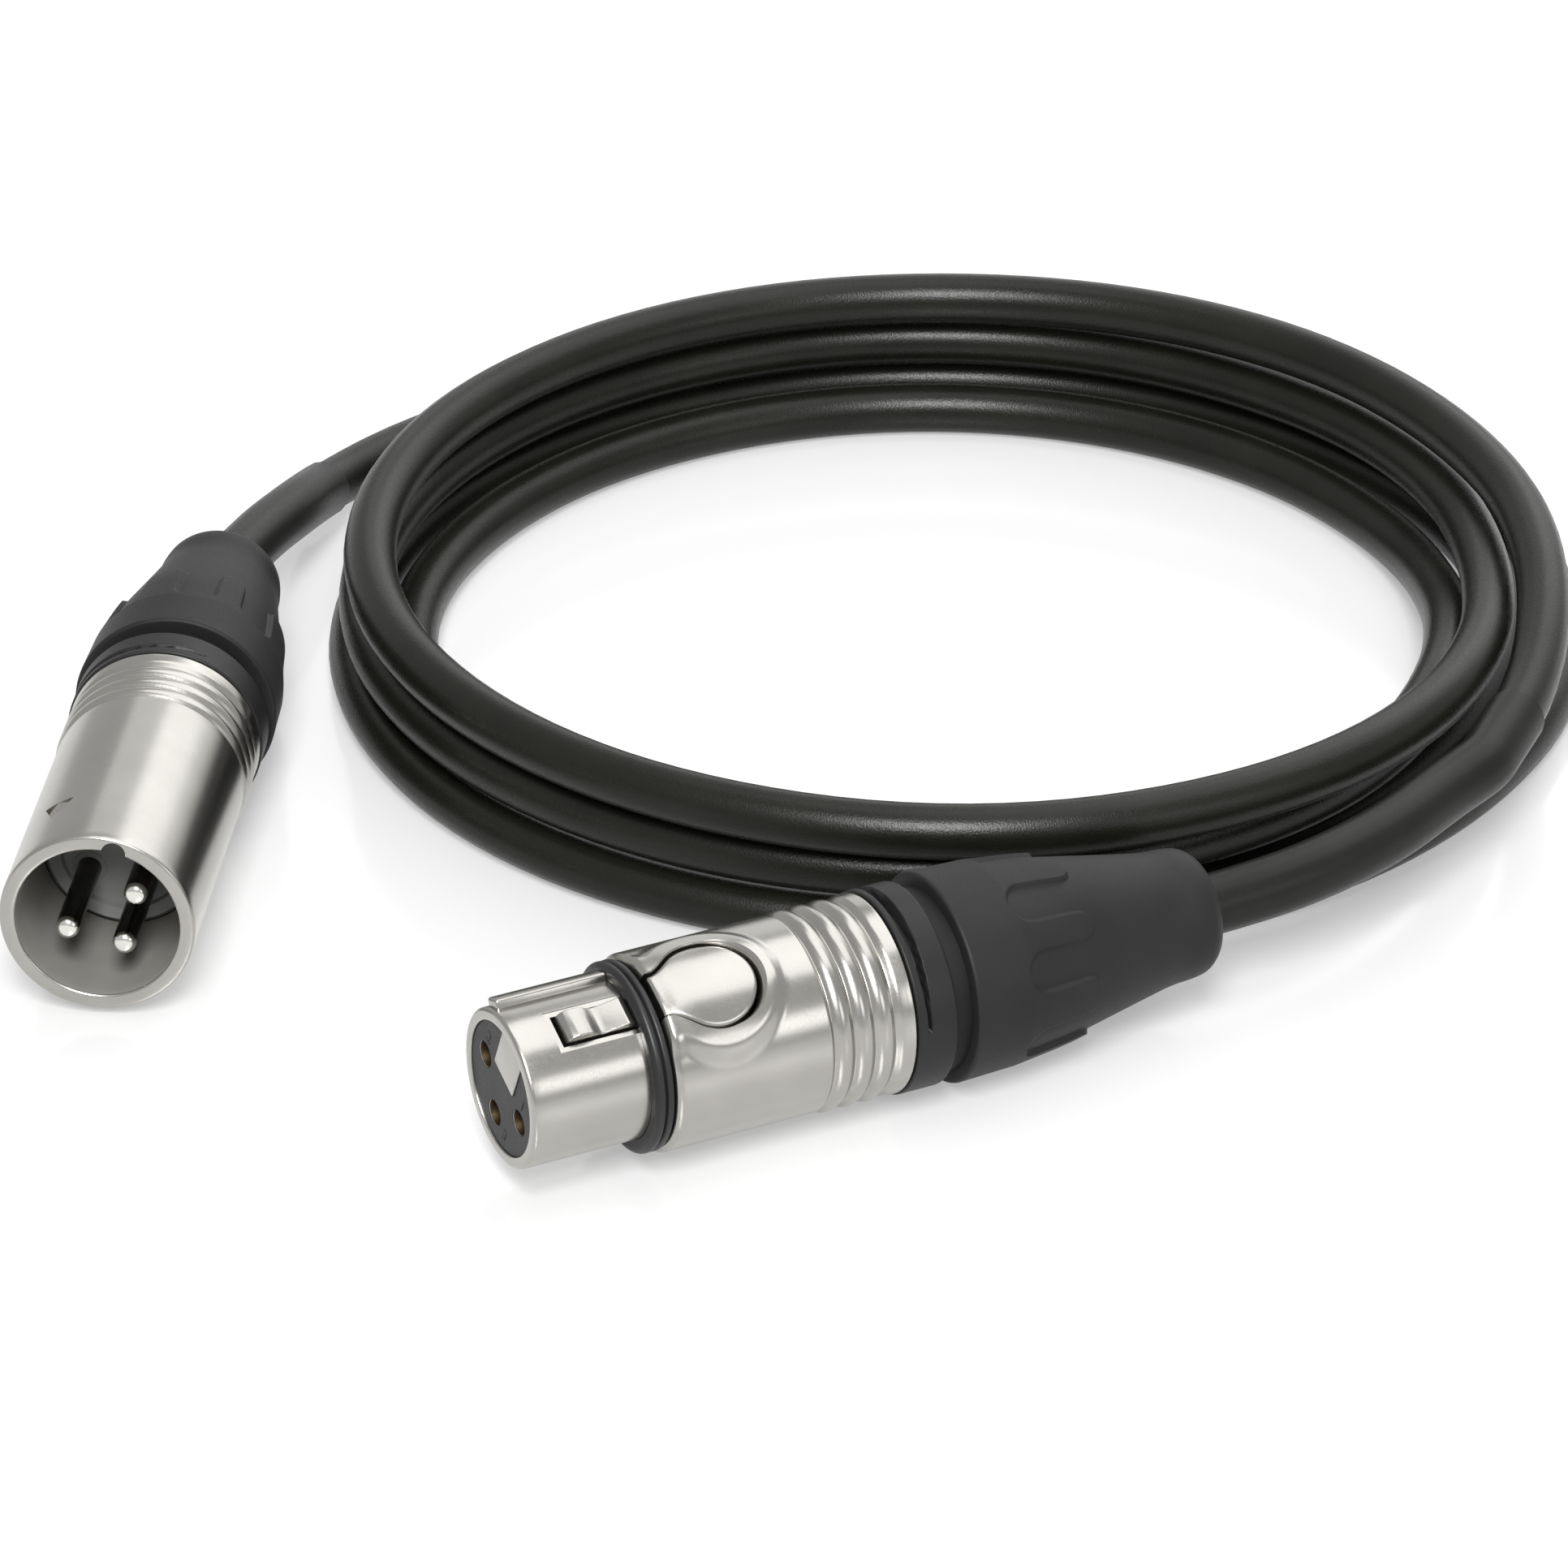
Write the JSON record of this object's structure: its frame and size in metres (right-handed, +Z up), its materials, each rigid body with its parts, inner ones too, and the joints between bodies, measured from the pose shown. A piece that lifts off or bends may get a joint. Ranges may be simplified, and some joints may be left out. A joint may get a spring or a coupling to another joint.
{
  "type": "xlr cable coil",
  "caption": "Microphone cable laid in a round coil, with a latching socket connector at one end, a pin plug connector at the other, and tapered strain-relief boots on both",
  "frame": {"origin": "Floor point under the middle of the box around the two connectors; the part lies on the plane Z = 0", "axes": "+Z up; the plug's axis lies along Y with its open rim and pins towards -Y; the socket's nose points to -X and -Y; the coil lies towards +X and +Y"},
  "size_m": [0.1553, 0.1883, 0.0209],
  "materials": {
    "nickel": "satin nickel plating on die-cast zinc",
    "contact": "silver-plated, polished",
    "steel": "drawn wire and ground pin",
    "insulator": "moulded, matte",
    "ring_rubber": "smooth black rubber",
    "collar": "moulded, satin black",
    "chuck": "moulded, natural grey",
    "boot": "soft-touch black",
    "jacket": "satin black flexible jacket",
    "sleeve": "shrunk black tube",
    "wire_red": "wire insulation",
    "wire_white": "wire insulation",
    "wire_blue": "wire insulation"
  },
  "bodies": {
    "cable": {"female_shell": "nickel", "female_insert": "insulator", "female_contact_1": "contact", "female_contact_2": "contact", "female_contact_3": "contact", "nose_ring": "ring_rubber", "latch_pin": "steel", "latch_spring": "steel", "female_coding_ring": "collar", "female_bushing": "collar", "female_chuck": "chuck", "female_boot": "boot", "female_wire_1": "wire_red", "female_wire_2": "wire_white", "female_wire_3": "wire_blue", "male_shell": "nickel", "male_insert": "insulator", "male_pin_1": "contact", "male_pin_2": "contact", "male_pin_3": "contact", "male_coding_ring": "collar", "male_bushing": "collar", "male_chuck": "chuck", "male_boot": "boot", "male_wire_1": "wire_red", "male_wire_2": "wire_white", "male_wire_3": "wire_blue", "cable_coil": "jacket", "cable_lead_female": "jacket", "cable_lead_male": "jacket", "female_label_sleeve": "sleeve", "male_label_sleeve": "sleeve"},
    "latch": {"latch_lever": "nickel"}
  },
  "joints": [
    {"name": "latch_press", "type": "hinge", "parent": "cable", "child": "latch", "pos_m": [-0.00335, -0.04799, 0.01467], "axis": [-0.4803, 0.7597, 0.4384], "range_deg": [0, 5], "stiffness_Nm_per_rad": 0.4, "springref_deg": -2.86, "deforming": ["latch_spring"]}
  ]
}
